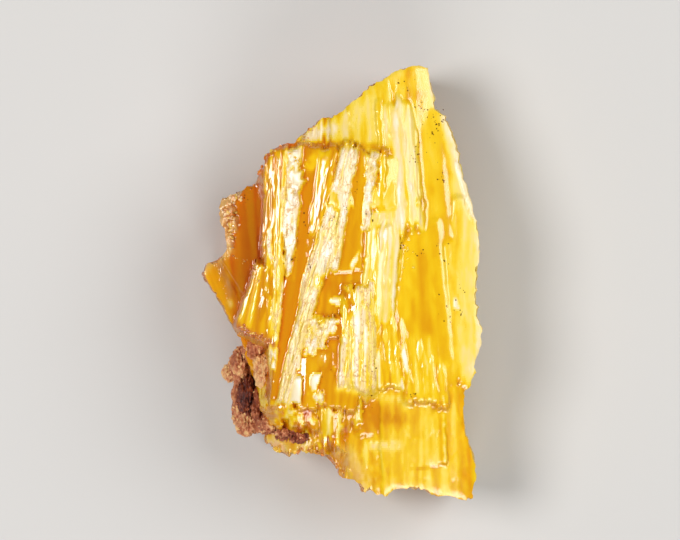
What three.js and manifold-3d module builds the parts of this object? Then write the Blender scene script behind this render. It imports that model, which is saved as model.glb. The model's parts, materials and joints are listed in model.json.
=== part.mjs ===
// A loose legrandite specimen lying on its back: a fan of yellow prismatic crystals that
// grew together into one solid, with a lump of brown limonite matrix at its lower left.
// Millimetres, +Z up. +Y runs along the crystals towards their broken top, and the best
// side faces up. The flat cleavage face underneath lies on z = 0.

import * as THREE from 'three';
import { mergeVertices } from 'three/addons/utils/BufferGeometryUtils.js';
import Module from 'manifold-3d';

const wasm = await Module();
wasm.setup();

// Driving dimensions
const ribsAcross = 6; // facets across the upper face of a blade
const stepsAlong = 3; // facets along it
const ribHeight = 0.07; // how far neighbouring ribs differ in height
const raggedEnd = 0.16; // how far the ribs break off before or past the blade's end
const shoulder = 0.2; // how much narrower a blade is at its upper face than at mid height
const chamfer = 0.05; // how much narrower it is underneath
const matrixClearance = 0.06; // space between the matrix and the crystal
const noduleHeight = 0.09; // waviness of a matrix lump, as a share of its radius
const grainHeight = 0.036; // its finer roughness, as a share of its radius
const lumpDetail = 4; // how finely a lump is faceted

// A blade runs from its foot to its tip. Each end is given by its left and right corner
// seen from above, [x, y]. The heights of the upper face are given for the tip's left and
// right corner and then for the foot's. The crest is how far the middle of the upper face
// rises above its edges.
const blades = {
  // The rear slab, which lies on the back face and reaches the top
  apex: {
    tip: [[1.75, 8.2], [3.5, 8.5]], foot: [[1.9, -5.2], [4.2, -5.2]],
    heights: [4.5, 4.1, 4.6, 4.0], under: 0, crest: 0.15,
  },
  besideApex: {
    tip: [[0.5, 7.35], [1.95, 8.3]], foot: [[0.3, -5.0], [2.2, -5.0]],
    heights: [4.0, 4.6, 4.2, 4.5], under: 0, crest: 0.1,
  },
  rearMiddle: {
    tip: [[-0.85, 6.5], [0.6, 7.3]], foot: [[-1.6, -5.0], [0.5, -5.0]],
    heights: [3.7, 4.2, 4.0, 4.2], under: 0, crest: 0.1,
  },
  rearLeft: {
    tip: [[-1.65, 5.7], [-0.7, 6.65]], foot: [[-2.5, -4.6], [-1.2, -4.8]],
    heights: [3.1, 3.8, 3.6, 4.0], under: 0.2, crest: 0.1,
  },
  rearEdge: {
    tip: [[-2.7, 5.1], [-1.5, 5.5]], foot: [[-3.2, -3.2], [-2.0, -4.0]],
    heights: [3.4, 3.8, 3.2, 3.6], under: 0.5, crest: 0,
  },
  // The pale right side with its long outer edge
  rightInner: {
    tip: [[3.3, 6.95], [4.2, 6.55]], foot: [[3.6, -5.3], [4.9, -4.3]],
    heights: [4.2, 3.8, 4.2, 3.6], under: 0, crest: 0.1,
  },
  rightShoulder: {
    tip: [[4.0, 6.35], [4.65, 5.4]], foot: [[4.2, -0.6], [5.56, 1.2]],
    heights: [3.8, 3.3, 4.2, 3.2], under: 0.4, crest: 0.15,
  },
  rightOuter: {
    tip: [[4.4, 3.2], [5.4, 2.2]], foot: [[4.2, -3.9], [5.3, -3.5]],
    heights: [4.0, 3.1, 4.3, 3.1], under: 0.6, crest: 0.2,
  },
  rightEdge: {
    tip: [[4.9, 0.3], [5.55, -0.3]], foot: [[4.5, -3.1], [5.55, -2.2]],
    heights: [3.6, 2.9, 3.8, 2.9], under: 1.0, crest: 0.1,
  },
  // The front slab, with a ledge across its top
  frontEdge: {
    tip: [[-3.0, 5.0], [-2.1, 5.4]], foot: [[-4.15, -2.0], [-2.7, -2.5]],
    heights: [4.7, 5.7, 3.9, 5.3], under: 1.2, crest: 0.2,
  },
  frontAmber: {
    tip: [[-2.2, 5.45], [-0.75, 5.5]], foot: [[-3.0, -4.4], [-2.1, -4.9]],
    heights: [5.8, 5.2, 5.0, 4.8], under: 1.4, crest: 0,
  },
  frontSlant: {
    tip: [[-0.85, 5.45], [0.6, 5.3]], foot: [[-2.6, -4.7], [-0.9, -5.2]],
    heights: [5.3, 6.2, 4.9, 5.6], under: 1.6, crest: 0.1,
  },
  frontGold: {
    tip: [[0.45, 5.3], [1.75, 5.0]], foot: [[-1.1, -5.0], [0.4, -5.2]],
    heights: [6.1, 5.5, 5.5, 5.6], under: 1.8, crest: 0.1,
  },
  // The ribbed plate in the middle and the pale tongues beside and above it
  plate: {
    tip: [[0.35, 0.1], [1.3, 0.2]], foot: [[-0.15, -4.0], [1.3, -4.1]],
    heights: [6.1, 6.3, 5.9, 5.9], under: 2.0, crest: 0.15,
  },
  tongue: {
    tip: [[1.4, 2.3], [2.3, 2.1]], foot: [[1.3, -2.0], [2.2, -1.7]],
    heights: [5.5, 4.9, 5.3, 4.9], under: 2.0, crest: 0.1,
  },
  paleBand: {
    tip: [[1.9, 7.5], [2.9, 7.3]], foot: [[2.1, 1.9], [3.0, 2.2]],
    heights: [4.9, 4.7, 5.2, 5.0], under: 2.0, crest: 0.1,
  },
  // The steps of the lower right
  stepUpper: {
    tip: [[1.2, -1.3], [2.4, -1.5]], foot: [[1.2, -4.0], [2.7, -4.1]],
    heights: [5.5, 5.2, 5.3, 5.1], under: 1.5, crest: 0.1,
  },
  stepRight: {
    tip: [[2.3, -1.0], [3.9, -1.2]], foot: [[2.5, -4.6], [4.2, -4.7]],
    heights: [4.7, 4.6, 5.0, 4.7], under: 1.2, crest: 0.1,
  },
  stepPlate: {
    tip: [[2.6, -4.4], [4.0, -4.5]], foot: [[2.9, -7.3], [4.2, -7.2]],
    heights: [4.8, 4.6, 4.3, 4.1], under: 0.8, crest: 0,
  },
  stepMiddle: {
    tip: [[-0.2, -4.6], [1.0, -4.5]], foot: [[-0.1, -5.9], [0.9, -6.0]],
    heights: [5.2, 5.1, 4.4, 4.2], under: 1.0, crest: 0.1,
  },
  stepLeft: {
    tip: [[-2.2, -4.4], [-0.1, -4.7]], foot: [[-1.6, -6.0], [-0.1, -6.1]],
    heights: [4.8, 5.2, 3.9, 4.1], under: 1.2, crest: 0.1,
  },
  // The two blades behind the left side
  wingUpper: {
    tip: [[-4.95, 3.2], [-2.7, 4.8]], foot: [[-4.5, 0.9], [-2.4, -2.4]],
    heights: [2.9, 3.6, 2.7, 3.4], under: 0.6, crest: 0.2,
  },
  wingLower: {
    tip: [[-5.6, 0.35], [-4.2, 1.7]], foot: [[-3.95, -2.55], [-2.3, -3.6]],
    heights: [2.3, 3.0, 2.4, 3.0], under: 0.5, crest: 0.25,
  },
  // The thinner slab below, broken off in rounded steps
  footFarLeft: {
    tip: [[-2.7, -3.4], [-1.2, -3.4]], foot: [[-2.7, -6.4], [-1.3, -6.7]],
    heights: [2.6, 3.0, 2.0, 2.3], under: 0.5, crest: 0.2,
  },
  footLeft: {
    tip: [[-1.6, -3.4], [0.4, -3.4]], foot: [[-1.15, -6.45], [0.5, -7.85]],
    heights: [3.0, 3.2, 2.1, 2.3], under: 0.1, crest: 0.15,
  },
  footMiddle: {
    tip: [[0.3, -3.4], [1.7, -3.4]], foot: [[0.6, -8.3], [1.7, -8.3]],
    heights: [3.1, 3.3, 2.2, 2.4], under: 0, crest: 0.2,
  },
  footRight: {
    tip: [[1.5, -3.4], [3.5, -3.4]], foot: [[1.6, -8.0], [3.4, -8.3]],
    heights: [3.3, 3.2, 2.4, 2.3], under: 0, crest: 0.2,
  },
  footTail: {
    tip: [[3.1, -3.6], [4.9, -4.4]], foot: [[3.2, -8.3], [5.32, -8.5]],
    heights: [3.2, 2.8, 2.2, 1.9], under: 0, crest: 0.15,
  },
};

// Lumps of matrix: centre, radii, and turn about Z in degrees
const lumps = [
  { at: [-3.8, -3.85, 1.9], radii: [0.75, 1.35, 1.15], turn: 12 },
  { at: [-3.5, -5.1, 1.7], radii: [0.8, 1.05, 1.0], turn: 20 },
  { at: [-2.9, -3.2, 2.7], radii: [0.8, 1.1, 0.85], turn: -25 },
  { at: [-2.2, -5.5, 2.9], radii: [1.15, 0.6, 0.75], turn: -14 },
];

const finishes = {
  crystal: { color: 0xf0a800, roughness: 0.25, metalness: 0, flatShading: true },
  matrix: { color: 0x8a3a1c, roughness: 0.85, metalness: 0, flatShading: true },
};

const mix = THREE.MathUtils.lerp;

// A repeatable random number from -1 to 1 for each seed
const jitter = (seed) => 2 * THREE.MathUtils.seededRandom(seed) - 1;

function positionsOnly(geometry) {
  geometry.deleteAttribute('normal');
  geometry.deleteAttribute('uv');
  return mergeVertices(geometry, 1e-5);
}

function solidOf(geometry) {
  return new wasm.Manifold(new wasm.Mesh({
    numProp: 3,
    vertProperties: new Float32Array(geometry.attributes.position.array),
    triVerts: new Uint32Array(geometry.index.array),
  }));
}

function joined(geometries) {
  return geometries.map(solidOf).reduce((whole, next) => whole.add(next));
}

function meshOf(name, solid, finish) {
  const { vertProperties, triVerts } = solid.getMesh();
  const geometry = new THREE.BufferGeometry();
  geometry.setAttribute('position', new THREE.BufferAttribute(new Float32Array(vertProperties), 3));
  geometry.setIndex(new THREE.BufferAttribute(new Uint32Array(triVerts), 1));
  geometry.computeVertexNormals();
  const mesh = new THREE.Mesh(geometry, new THREE.MeshStandardMaterial(finish));
  mesh.name = name;
  return mesh;
}

// A blade is a box whose upper face is ribbed, whose ends are ragged, and whose sides come
// to an edge half way up. grow makes it larger all round, to cut room for the matrix.
function bladeGeometry({ tip, foot, heights, under, crest }, number, grow) {
  const geometry = new THREE.BoxGeometry(1, 1, 1, ribsAcross, stepsAlong, 2);
  const place = geometry.attributes.position;
  const [tipLeft, tipRight] = tip.map((corner) => new THREE.Vector2(...corner));
  const [footLeft, footRight] = foot.map((corner) => new THREE.Vector2(...corner));
  const axis = tipLeft.clone().add(tipRight).sub(footLeft).sub(footRight).normalize();
  const width = tipLeft.distanceTo(tipRight);
  for (let i = 0; i < place.count; i += 1) {
    const across = place.getX(i) + 0.5; // 0 at the left side, 1 at the right
    const along = place.getY(i) + 0.5; // 0 at the foot, 1 at the tip
    const level = Math.sign(place.getZ(i)); // -1 underneath, 0 at the side edges, 1 on top
    const rib = Math.round(across * ribsAcross);
    const step = Math.round(along * stepsAlong);
    const end = Math.sign(step % stepsAlong === 0 ? along - 0.5 : 0);

    const inset = { '-1': chamfer, 0: 0, 1: shoulder }[level] / width;
    const u = mix(inset, 1 - inset, across) + (2 * across - 1) * grow / width;
    const spot = footLeft.clone().lerp(footRight, u).lerp(tipLeft.clone().lerp(tipRight, u), along);
    spot.addScaledVector(axis, end * (grow + raggedEnd * jitter(number * 100 + rib * 3 + end)));

    const edge = mix(mix(heights[2], heights[3], across), mix(heights[0], heights[1], across), along);
    const rise = crest * (1 - Math.abs(2 * across - 1)) + ribHeight * jitter(number * 50 + rib * 4 + step);
    const z = { '-1': under - grow, 0: mix(under, edge + rise, 0.5), 1: edge + rise + grow }[level];
    place.setXYZ(i, spot.x, spot.y, z);
  }
  return positionsOnly(geometry);
}

function crystalSolid(grow) {
  return joined(Object.values(blades).map((blade, number) => bladeGeometry(blade, number, grow)));
}

// A lump is a sphere with a nodular, grainy surface.
function lumpGeometry({ at, radii, turn }, number) {
  const geometry = positionsOnly(new THREE.IcosahedronGeometry(1, lumpDetail));
  const place = geometry.attributes.position;
  const spot = new THREE.Vector3();
  for (let i = 0; i < place.count; i += 1) {
    spot.fromBufferAttribute(place, i);
    const nodules = Math.sin(7 * spot.x + 3 * spot.y + number) * Math.sin(6 * spot.y - 4 * spot.z)
      + 0.6 * Math.sin(11 * spot.z + 5 * spot.x - number);
    spot.multiplyScalar(1 + noduleHeight * nodules + grainHeight * jitter(number * 1000 + i));
    place.setXYZ(i, spot.x, spot.y, spot.z);
  }
  geometry.scale(...radii);
  geometry.rotateZ(THREE.MathUtils.degToRad(turn));
  geometry.translate(...at);
  return geometry;
}

const group = new THREE.Group();
group.name = 'legrandite';
const matrix = joined(lumps.map(lumpGeometry)).subtract(crystalSolid(matrixClearance));
group.add(meshOf('legrandite_crystal', crystalSolid(0), finishes.crystal));
group.add(meshOf('limonite_matrix', matrix, finishes.matrix));

// The origin is under the middle of the specimen, on the surface it lies on.
const extent = new THREE.Box3().setFromObject(group);
const middle = extent.getCenter(new THREE.Vector3());
group.position.set(-middle.x, -middle.y, -extent.min.z);

export default group;
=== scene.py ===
import json
import math

import bmesh
import bpy
import numpy as np
from mathutils import Euler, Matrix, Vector, noise

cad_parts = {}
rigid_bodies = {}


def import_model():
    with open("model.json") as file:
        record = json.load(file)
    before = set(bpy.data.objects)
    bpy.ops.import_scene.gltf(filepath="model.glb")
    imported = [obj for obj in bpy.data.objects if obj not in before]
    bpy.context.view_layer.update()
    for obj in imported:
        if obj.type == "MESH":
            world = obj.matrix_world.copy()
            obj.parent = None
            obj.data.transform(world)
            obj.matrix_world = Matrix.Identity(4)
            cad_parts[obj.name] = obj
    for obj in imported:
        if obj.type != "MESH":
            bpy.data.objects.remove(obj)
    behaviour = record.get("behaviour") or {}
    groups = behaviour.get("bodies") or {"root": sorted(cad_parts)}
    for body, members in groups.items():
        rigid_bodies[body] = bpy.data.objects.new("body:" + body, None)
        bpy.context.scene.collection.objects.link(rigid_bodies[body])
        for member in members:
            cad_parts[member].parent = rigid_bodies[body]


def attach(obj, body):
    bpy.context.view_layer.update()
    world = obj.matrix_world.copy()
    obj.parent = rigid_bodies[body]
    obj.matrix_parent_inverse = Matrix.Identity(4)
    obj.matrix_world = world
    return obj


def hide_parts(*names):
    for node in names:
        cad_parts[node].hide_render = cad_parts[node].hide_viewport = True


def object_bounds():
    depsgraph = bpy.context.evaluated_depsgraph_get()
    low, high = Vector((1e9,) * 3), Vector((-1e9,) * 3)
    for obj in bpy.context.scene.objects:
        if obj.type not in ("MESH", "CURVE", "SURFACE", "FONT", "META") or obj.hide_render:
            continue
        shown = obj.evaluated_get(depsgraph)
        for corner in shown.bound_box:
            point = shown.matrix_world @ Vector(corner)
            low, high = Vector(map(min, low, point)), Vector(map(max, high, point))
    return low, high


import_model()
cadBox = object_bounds()

mm = 0.001  # every length below is in millimetres
print("frame loaded, box in mm", [round(v / mm, 2) for v in cadBox[1] - cadBox[0]])


class Field:
    # a shader socket that can stand in a sum
    def __init__(self, tree, socket):
        self.tree = tree
        self.socket = socket

    def maths(self, operation, first, second, clamp=False):
        return self.tree.node("ShaderNodeMath", {"operation": operation, "use_clamp": clamp}, first, second)

    def __add__(self, other):
        return self.maths("ADD", self, other)

    def __sub__(self, other):
        return self.maths("SUBTRACT", self, other)

    def __rsub__(self, other):
        return self.maths("SUBTRACT", other, self)

    def __mul__(self, other):
        return self.maths("MULTIPLY", self, other)

    __radd__ = __add__
    __rmul__ = __mul__

    def clamped(self):
        return self.maths("ADD", self, 0.0, clamp=True)

    def size(self):
        return self.maths("ABSOLUTE", self, 0.0)

    def part(self, name):
        return Field(self.tree, self.socket.node.outputs[name])


class Finish:
    # a material, and the one way to add a node to it
    def __init__(self, name):
        self.material = bpy.data.materials.new(name)
        self.material.use_nodes = True
        self.nodes = self.material.node_tree.nodes
        self.links = self.material.node_tree.links
        self.nodes.clear()

    def node(self, kind, settings=None, *ordered, **named):
        made = self.nodes.new(kind)
        for key, value in (settings or {}).items():
            if key == "stops":
                self.setStops(made.color_ramp, value)
            else:
                setattr(made, key, value)
        for place, value in enumerate(ordered):
            self.plug(made.inputs[place], value)
        for name, value in named.items():
            label = name.replace("_", " ")
            self.plug(next(s for s in made.inputs if s.enabled and s.name == label), value)
        return Field(self, next(s for s in made.outputs if s.enabled))

    def plug(self, socket, value):
        if isinstance(value, Field):
            self.links.new(value.socket, socket)
        else:
            socket.default_value = value

    def setStops(self, ramp, stops):
        while len(ramp.elements) > 1:
            ramp.elements.remove(ramp.elements[-1])
        for number, (position, colour) in enumerate(stops):
            element = ramp.elements[0] if number == 0 else ramp.elements.new(position)
            element.position = position
            element.color = (*colour, 1.0)

    def blend(self, factor, low, high):
        low, high = ((*c, 1.0) if isinstance(c, tuple) else c for c in (low, high))
        return self.node("ShaderNodeMix", {"data_type": "RGBA"}, Factor=factor, A=low, B=high)

    def attribute(self, name):
        return self.node("ShaderNodeAttribute", {"attribute_name": name}).part("Fac")

    def grain(self, vector, scale=1.0, detail=3.0, roughness=0.5):
        return self.node("ShaderNodeTexNoise", None, Vector=vector, Scale=scale, Detail=detail,
                         Roughness=roughness)

    def output(self, surface, volume=None):
        made = self.nodes.new("ShaderNodeOutputMaterial")
        self.links.new(surface.socket, made.inputs["Surface"])
        if volume:
            self.links.new(volume.socket, made.inputs["Volume"])
        return self.material


def addObject(name, data):
    made = bpy.data.objects.new(name, data)
    bpy.context.scene.collection.objects.link(made)
    return made


def meshOf(name, points, faces):
    mesh = bpy.data.meshes.new(name)
    mesh.from_pydata((np.asarray(points) * mm).tolist(), [], faces)
    mesh.update()
    return mesh


def writeFaces(mesh, **fields):
    # a value for each face, or one for all of them, that the materials read by name
    for name, values in fields.items():
        layer = mesh.attributes.new(name, "FLOAT", "FACE")
        layer.data.foreach_set("value", np.full(len(mesh.polygons), values, "f"))


def addBoolean(whole, operation, **settings):
    modifier = whole.modifiers.new(operation.lower(), "BOOLEAN")
    modifier.operation = operation
    modifier.solver = "MANIFOLD"
    for key, value in settings.items():
        setattr(modifier, key, value)


def joinSolids(name, meshes, cutter=None):
    # one solid: the first mesh, cut to the cutter if there is one, with all the others joined on
    whole = addObject(name, meshes[0])
    others = bpy.data.collections.new(name + "Parts")
    bpy.context.scene.collection.children.link(others)
    for mesh in meshes[1:]:
        others.objects.link(bpy.data.objects.new(mesh.name, mesh))
    used = [whole, *others.objects]
    if cutter:
        used.append(addObject("cutter", cutter))
        addBoolean(whole, "INTERSECT", object=used[-1])
    addBoolean(whole, "UNION", operand_type="COLLECTION", collection=others)
    result = bpy.data.meshes.new_from_object(whole.evaluated_get(bpy.context.evaluated_depsgraph_get()))
    result.name = name
    for o in used:
        bpy.data.objects.remove(o)
    bpy.data.collections.remove(others)
    return addObject(name, result)


def dropScraps(mesh, fewest):
    # chips that ended up touching nothing, and closed bubbles inside, are taken off again
    work = bmesh.new()
    work.from_mesh(mesh)
    left = set(work.verts)
    while left:
        island = [left.pop()]
        for corner in island:
            near = {edge.other_vert(corner) for edge in corner.link_edges} & left
            left -= near
            island += near
        if len(island) < fewest:
            bmesh.ops.delete(work, geom=island, context="VERTS")
    work.to_mesh(mesh)
    work.free()


def creaseEdges(mesh, faceAngle, wallAngle):
    # edges stay sharp where the surface turns by more than these angles, on the face and on the wall
    work = bmesh.new()
    work.from_mesh(mesh)
    wall = work.faces.layers.float["wall"]
    for edge in work.edges:
        onWall = any(face[wall] > 0.5 for face in edge.link_faces)
        edge.smooth = edge.calc_face_angle(0) < math.radians(wallAngle if onWall else faceAngle)
    for face in work.faces:
        face.smooth = True
    work.to_mesh(mesh)
    work.free()


class Splinters:
    # a surface broken into long cells: which one each spot is in, and how far it is from the middle
    def __init__(self, draw, p, q, width, length):
        a, b = p / width, q / length
        column, row = np.floor(a).astype(int), np.floor(b).astype(int)
        column -= column.min() - 1
        row -= row.min() - 1
        a, b = a - np.floor(a), b - np.floor(b)
        rows = row.max() + 2
        self.count = (column.max() + 2) * rows
        middle = draw.random((2, column.max() + 2, rows))
        nearest = np.full(a.shape, 99.0)
        self.cell = np.zeros(a.shape, int)
        self.offA = np.zeros(a.shape)
        self.offB = np.zeros(a.shape)
        for di in (-1, 0, 1):
            for dj in (-1, 0, 1):
                i, j = column + di, row + dj
                offA = a - di - middle[0][i, j]
                offB = b - dj - middle[1][i, j]
                distance = offA ** 2 + offB ** 2
                closer = distance < nearest
                nearest[closer] = distance[closer]
                self.cell[closer] = (i * rows + j)[closer]
                self.offA[closer] = offA[closer] * width
                self.offB[closer] = offB[closer] * length
        self.draw = draw
        self.level = 0.4 * min(1.0, 3 * width / length)  # long splinters hardly tip lengthwise

    def spread(self):
        # one random number a splinter
        return self.draw.normal(0, 1, self.count).clip(-2.2, 2.2)[self.cell]

    def relief(self, drop, tilt):
        flat = drop * self.spread()
        tipped = self.spread() * self.offA + self.level * self.spread() * self.offB
        return flat + tilt * tipped


def unevenLine(draw, along, waves):
    # a line that strays to each side, in steps of each wave's length and reach
    return sum(reach * Splinters(draw, along, along * 0, length, 1.0).spread() for length, reach in waves)


def stations(path):
    # how far along the path each of its corners is
    return np.concatenate([[0], np.cumsum(np.linalg.norm(np.diff(path, axis=0), axis=1))])


# tones, from the deepest colour to frosted white
deep, amber, orange, gold, lemon = 0.0, 0.14, 0.28, 0.42, 0.56
yellow, pale, cream, white = 0.63, 0.74, 0.86, 1.0

# how a face is broken: width, length, drop, tilt and change of tone of each layer of splinters
skins = {
    "smooth": ((0.9, 6.0, 0.0005, 0.003, 0.015), (0.2, 3.0, 0.0006, 0.006, 0.02)),
    "ribbed": ((0.2, 9.0, 0.01, 0.1, 0.05), (0.09, 5.0, 0.004, 0.08, 0.06), (0.11, 1.0, 0.004, 0.04, 0.04)),
    "threaded": ((0.14, 8.0, 0.012, 0.11, 0.07), (0.07, 2.5, 0.005, 0.1, 0.07),
                 (0.1, 0.7, 0.004, 0.05, 0.05)),
    "splintered": ((0.2, 1.6, 0.012, 0.12, 0.06), (0.09, 0.5, 0.006, 0.14, 0.06)),
    "laddered": ((0.5, 0.26, 0.016, 0.12, 0.08), (0.12, 0.14, 0.006, 0.12, 0.07)),
    "veined": ((0.24, 5.0, 0.006, 0.05, 0.05), (0.1, 4.0, 0.002, 0.06, 0.04),
               (0.12, 0.9, 0.003, 0.03, 0.03)),
    "crumbly": ((0.22, 0.3, 0.018, 0.2, 0.1), (0.1, 0.12, 0.007, 0.22, 0.09)),
    "striated": ((0.09, 6.0, 0.004, 0.035, 0.05), (0.2, 1.5, 0.003, 0.02, 0.03)),
    "worn": ((0.4, 0.6, 0.006, 0.04, 0.04), (0.14, 0.25, 0.003, 0.05, 0.04)),
    "fractured": ((0.3, 0.4, 0.01, 0.12, 0.14), (0.12, 0.16, 0.003, 0.08, 0.14)),
    "glassy": ((0.34, 1.4, 0.002, 0.015, 0.04), (0.13, 0.6, 0.001, 0.02, 0.035)),
    "knobbly": ((0.3, 0.34, 0.06, 0.22, 0.2), (0.13, 0.16, 0.02, 0.2, 0.2)),
}

# how much a skin is crackled with fine hairs
crackles = {
    "smooth": 0.0, "ribbed": 0.3, "threaded": 1.0, "splintered": 1.0, "laddered": 0.8, "veined": 0.12,
    "crumbly": 1.0, "knobbly": 0.4, "striated": 0.1, "worn": 0.0, "fractured": 0.2, "glassy": 0.0,
}

bladeDefaults = {
    "skin": "smooth", "ragged": 0.1, "wave": 0.03, "shoulder": 0.04, "wall": 1.6, "tipWall": 5.0,
    "footWall": 0.9, "soft": 0.02, "tipDrop": 0.05, "footDrop": 0.05, "sideTone": None, "sparkle": 0.0,
    "blush": 0.0, "fade": 0.0, "endFade": 0.0, "stripes": 0.03, "bulge": 0.0, "soften": 0.0,
    "footSoft": 0.2, "dull": 0.0, "endTone": 0.48,
}

crystal = {
    # the lattice that the face is worked out on
    "low": (-6.0, -9.0), "high": (6.0, 9.1), "step": (0.036, 0.075),
    # each blade: how its sides and ends stray, and how quickly it changes at its edges
    "margin": 0.8, "sideWaves": ((0.9, 0.6), (0.25, 0.5)), "endWaves": ((0.55, 0.6), (0.2, 0.3)),
    "stripeWidth": 0.13, "glintTilt": 0.27, "plateWall": 9.0,
    "endReach": 0.25, "shoulderReach": 0.05, "sideToneReach": 0.03,
    # past a broken foot: how soon it is all broken, and the width, length, drop and tilt of its splinters
    "brokenReach": 0.12, "broken": (0.2, 0.24, 0.02, 0.28), "brokenTones": (0.14, 0.2),
    # the strewn splinters: how many, where, half their width, half their length, and the step that stops one
    "strewn": 650, "strewnAcross": (-3.1, 5.3), "strewnUp": (-8.0, 8.0),
    "strewnHalf": (0.03, 0.11), "strewnReach": (0.15, 0.9), "strewnStep": 0.12,
    "softenRounds": 4,
    # how deep the edges are worn and how far in, and how patchy the brushed tones are
    "worn": 0.08, "wornSpread": 0.03, "wornCells": (0.5, 0.7), "wornReach": 0.1,
    "patches": 0.35, "patchCells": (0.13, 0.2),
    # the wall: the lattice on it, and the width, length, drop and tilt of what breaks it up
    "wallStep": 0.11, "wallLevels": (-0.2, 6.8, 0.15), "wallWaves": ((0.6, 0.03), (0.22, 0.02)),
    "runs": (0.5, 5.0, 0.1, 0.25), "fibres": (0.2, 1.6, 0.03, 0.15),
    "blocks": (0.5, 0.45, 0.09, 0.3), "chips": (0.22, 0.25, 0.03, 0.3), "inset": 0.05, "undercut": 0.12,
    # islands with fewer corners than this are dropped, and edges stay sharp over these angles
    "scrap": 200, "faceCrease": 62, "wallCrease": 38,
    "bladeSeed": 100, "strewnSeed": 7, "mottleSeed": 5, "rimSeed": 17, "crumbSeed": 11,
}


class Relief:
    # the face of the crystal: a height, a tone, a blush and a lean at each point of a lattice
    def __init__(self, low, high, step):
        self.low, self.step = low, step
        axes = [np.arange(a, b, c) for a, b, c in zip(low, high, step)]
        self.x, self.y = np.meshgrid(*axes, indexing="ij")
        self.z = np.full(self.x.shape, 1.0)
        self.tone = np.full(self.x.shape, gold)
        for name in ("blush", "lean", "calm", "crackle", "softness", "dull"):
            setattr(self, name, np.zeros(self.x.shape))

    def place(self, x, y):
        return tuple(int(round((a - b) / c)) for a, b, c in zip((x, y), self.low, self.step))

    def heightAt(self, x, y):
        return float(self.z[self.place(x, y)])

    def window(self, corners, margin):
        first = self.place(*(np.min(corners, 0) - margin))
        last = self.place(*(np.max(corners, 0) + margin))
        return tuple(slice(max(0, a), max(0, b + 1)) for a, b in zip(first, last))

    def lay(self, blade, seed):
        # put one blade on: higher wins, and it slopes down outside its own edge
        b = {**bladeDefaults, **blade}
        if "rise" in b:
            b["wall"] = b["footWall"] = crystal["plateWall"]
        draw = np.random.default_rng(seed)
        corners = np.array([*b["tip"], *b["foot"]], float)
        tipLeft, tipRight, footLeft, footRight = corners
        here = self.window(corners, crystal["margin"])
        x, y, z = self.x[here], self.y[here], self.z[here]

        # u goes across the blade and s up it: each hangs on the other, so both are worked out in turns
        u = np.full(x.shape, 0.5)
        for turn in range(3):
            foot = footLeft[1] + (footRight[1] - footLeft[1]) * np.clip(u, 0, 1)
            tip = tipLeft[1] + (tipRight[1] - tipLeft[1]) * np.clip(u, 0, 1)
            s = (y - foot) / (tip - foot)
            left = footLeft[0] + (tipLeft[0] - footLeft[0]) * np.clip(s, 0, 1)
            width = footRight[0] + (tipRight[0] - footRight[0]) * np.clip(s, 0, 1) - left
            u = (x - left) / width
        length = tip - foot
        across = np.clip(u, 0, 1)[..., None]
        edge = (tipLeft - footLeft) * (1 - across) + (tipRight - footRight) * across
        lean = edge[..., 0] / edge[..., 1]
        p, q = u * width.mean(), s * length.mean()

        # how far inside the blade's edge each point is
        sides = [b["wave"] * unevenLine(draw, q, crystal["sideWaves"]) for side in range(2)]
        ends = [b["ragged"] * unevenLine(draw, p, crystal["endWaves"]) for end in range(2)]
        inside = np.minimum(u * width + sides[0], (1 - u) * width + sides[1])
        fromFoot, fromTip = s * length + ends[0], (1 - s) * length + ends[1]
        within = np.minimum(fromFoot, fromTip)

        # its height and tone: the profile, then each layer of its skin
        if "top" in b:
            profile = np.array(b["top"])
        else:
            ground = [self.heightAt(*c) for c in corners]
            rises = b["rise"]
            profile = np.array([(0, ground[0] + rises[0], ground[2] + rises[0]),
                                (1, ground[1] + rises[1], ground[3] + rises[1])])
        tipZ = np.interp(u, profile[:, 0], profile[:, 1])
        footZ = np.interp(u, profile[:, 0], profile[:, 2])
        new = footZ + (tipZ - footZ) * np.clip(s, 0, 1)
        tones = np.array(b["tones"])
        facet = np.clip(np.searchsorted(profile[:, 0], u, "right") - 1, 0, len(profile) - 2)
        knots = np.arange(-1.5, 1.5 + p.max(), crystal["stripeWidth"])
        tone = tones[facet] + b["stripes"] * np.interp(p, knots, draw.normal(0, 1, len(knots)))
        for cellWidth, cellLength, drop, tilt, change in skins[b["skin"]]:
            layer = Splinters(draw, p, q, cellWidth, cellLength)
            # painted highlight: sparkle splinters are tipped towards the key light and also painted white
            bright = draw.random(layer.count)[layer.cell] < b["sparkle"] * (cellLength < 3)
            new = new + layer.relief(drop, tilt) + np.where(bright, crystal["glintTilt"] * layer.offA, 0)
            if b["bulge"]:
                dome = 1 - (layer.offA ** 2 + layer.offB ** 2) / (0.6 * cellWidth) ** 2
                new = new + b["bulge"] * cellWidth * np.clip(dome, 0, 1)
            tone = np.where(bright, np.maximum(tone, white), tone + change * layer.spread())

        # the fall to its edges
        new = new - b["tipDrop"] * np.exp(-np.abs(1 - s) * length / crystal["endReach"])
        new = new - b["footDrop"] * np.exp(-np.abs(s) * length / crystal["endReach"])
        nearEdge = np.clip(np.minimum(inside, within), 0, 9)
        new = new - b["shoulder"] * np.exp(-nearEdge / crystal["shoulderReach"])
        new = new + b["wall"] * np.clip(inside, -9, 0) + b["tipWall"] * np.clip(fromTip, -9, 0)
        new = new + b["footWall"] * np.clip(fromFoot, -9, 0)
        past = np.clip(-fromFoot / crystal["brokenReach"], 0, 1)
        cellWidth, cellLength, drop, tilt = crystal["broken"]
        new = new + past * Splinters(draw, p, q, cellWidth, cellLength).relief(drop, tilt)
        speckled = Splinters(draw, p, q, *crystal["brokenTones"]).spread()
        tone = tone + past * 0.8 * (np.minimum(tone, b["endTone"]) - tone) + past * 0.1 * speckled
        # painted shade: the sides are given a deeper tone than the top, 0.8 of its mean unless a side tone
        # is given
        sideTone = tones.mean() * 0.8 if b["sideTone"] is None else b["sideTone"]
        tone = tone + (sideTone - tone) * np.clip(-inside / crystal["sideToneReach"], 0, 1)

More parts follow.
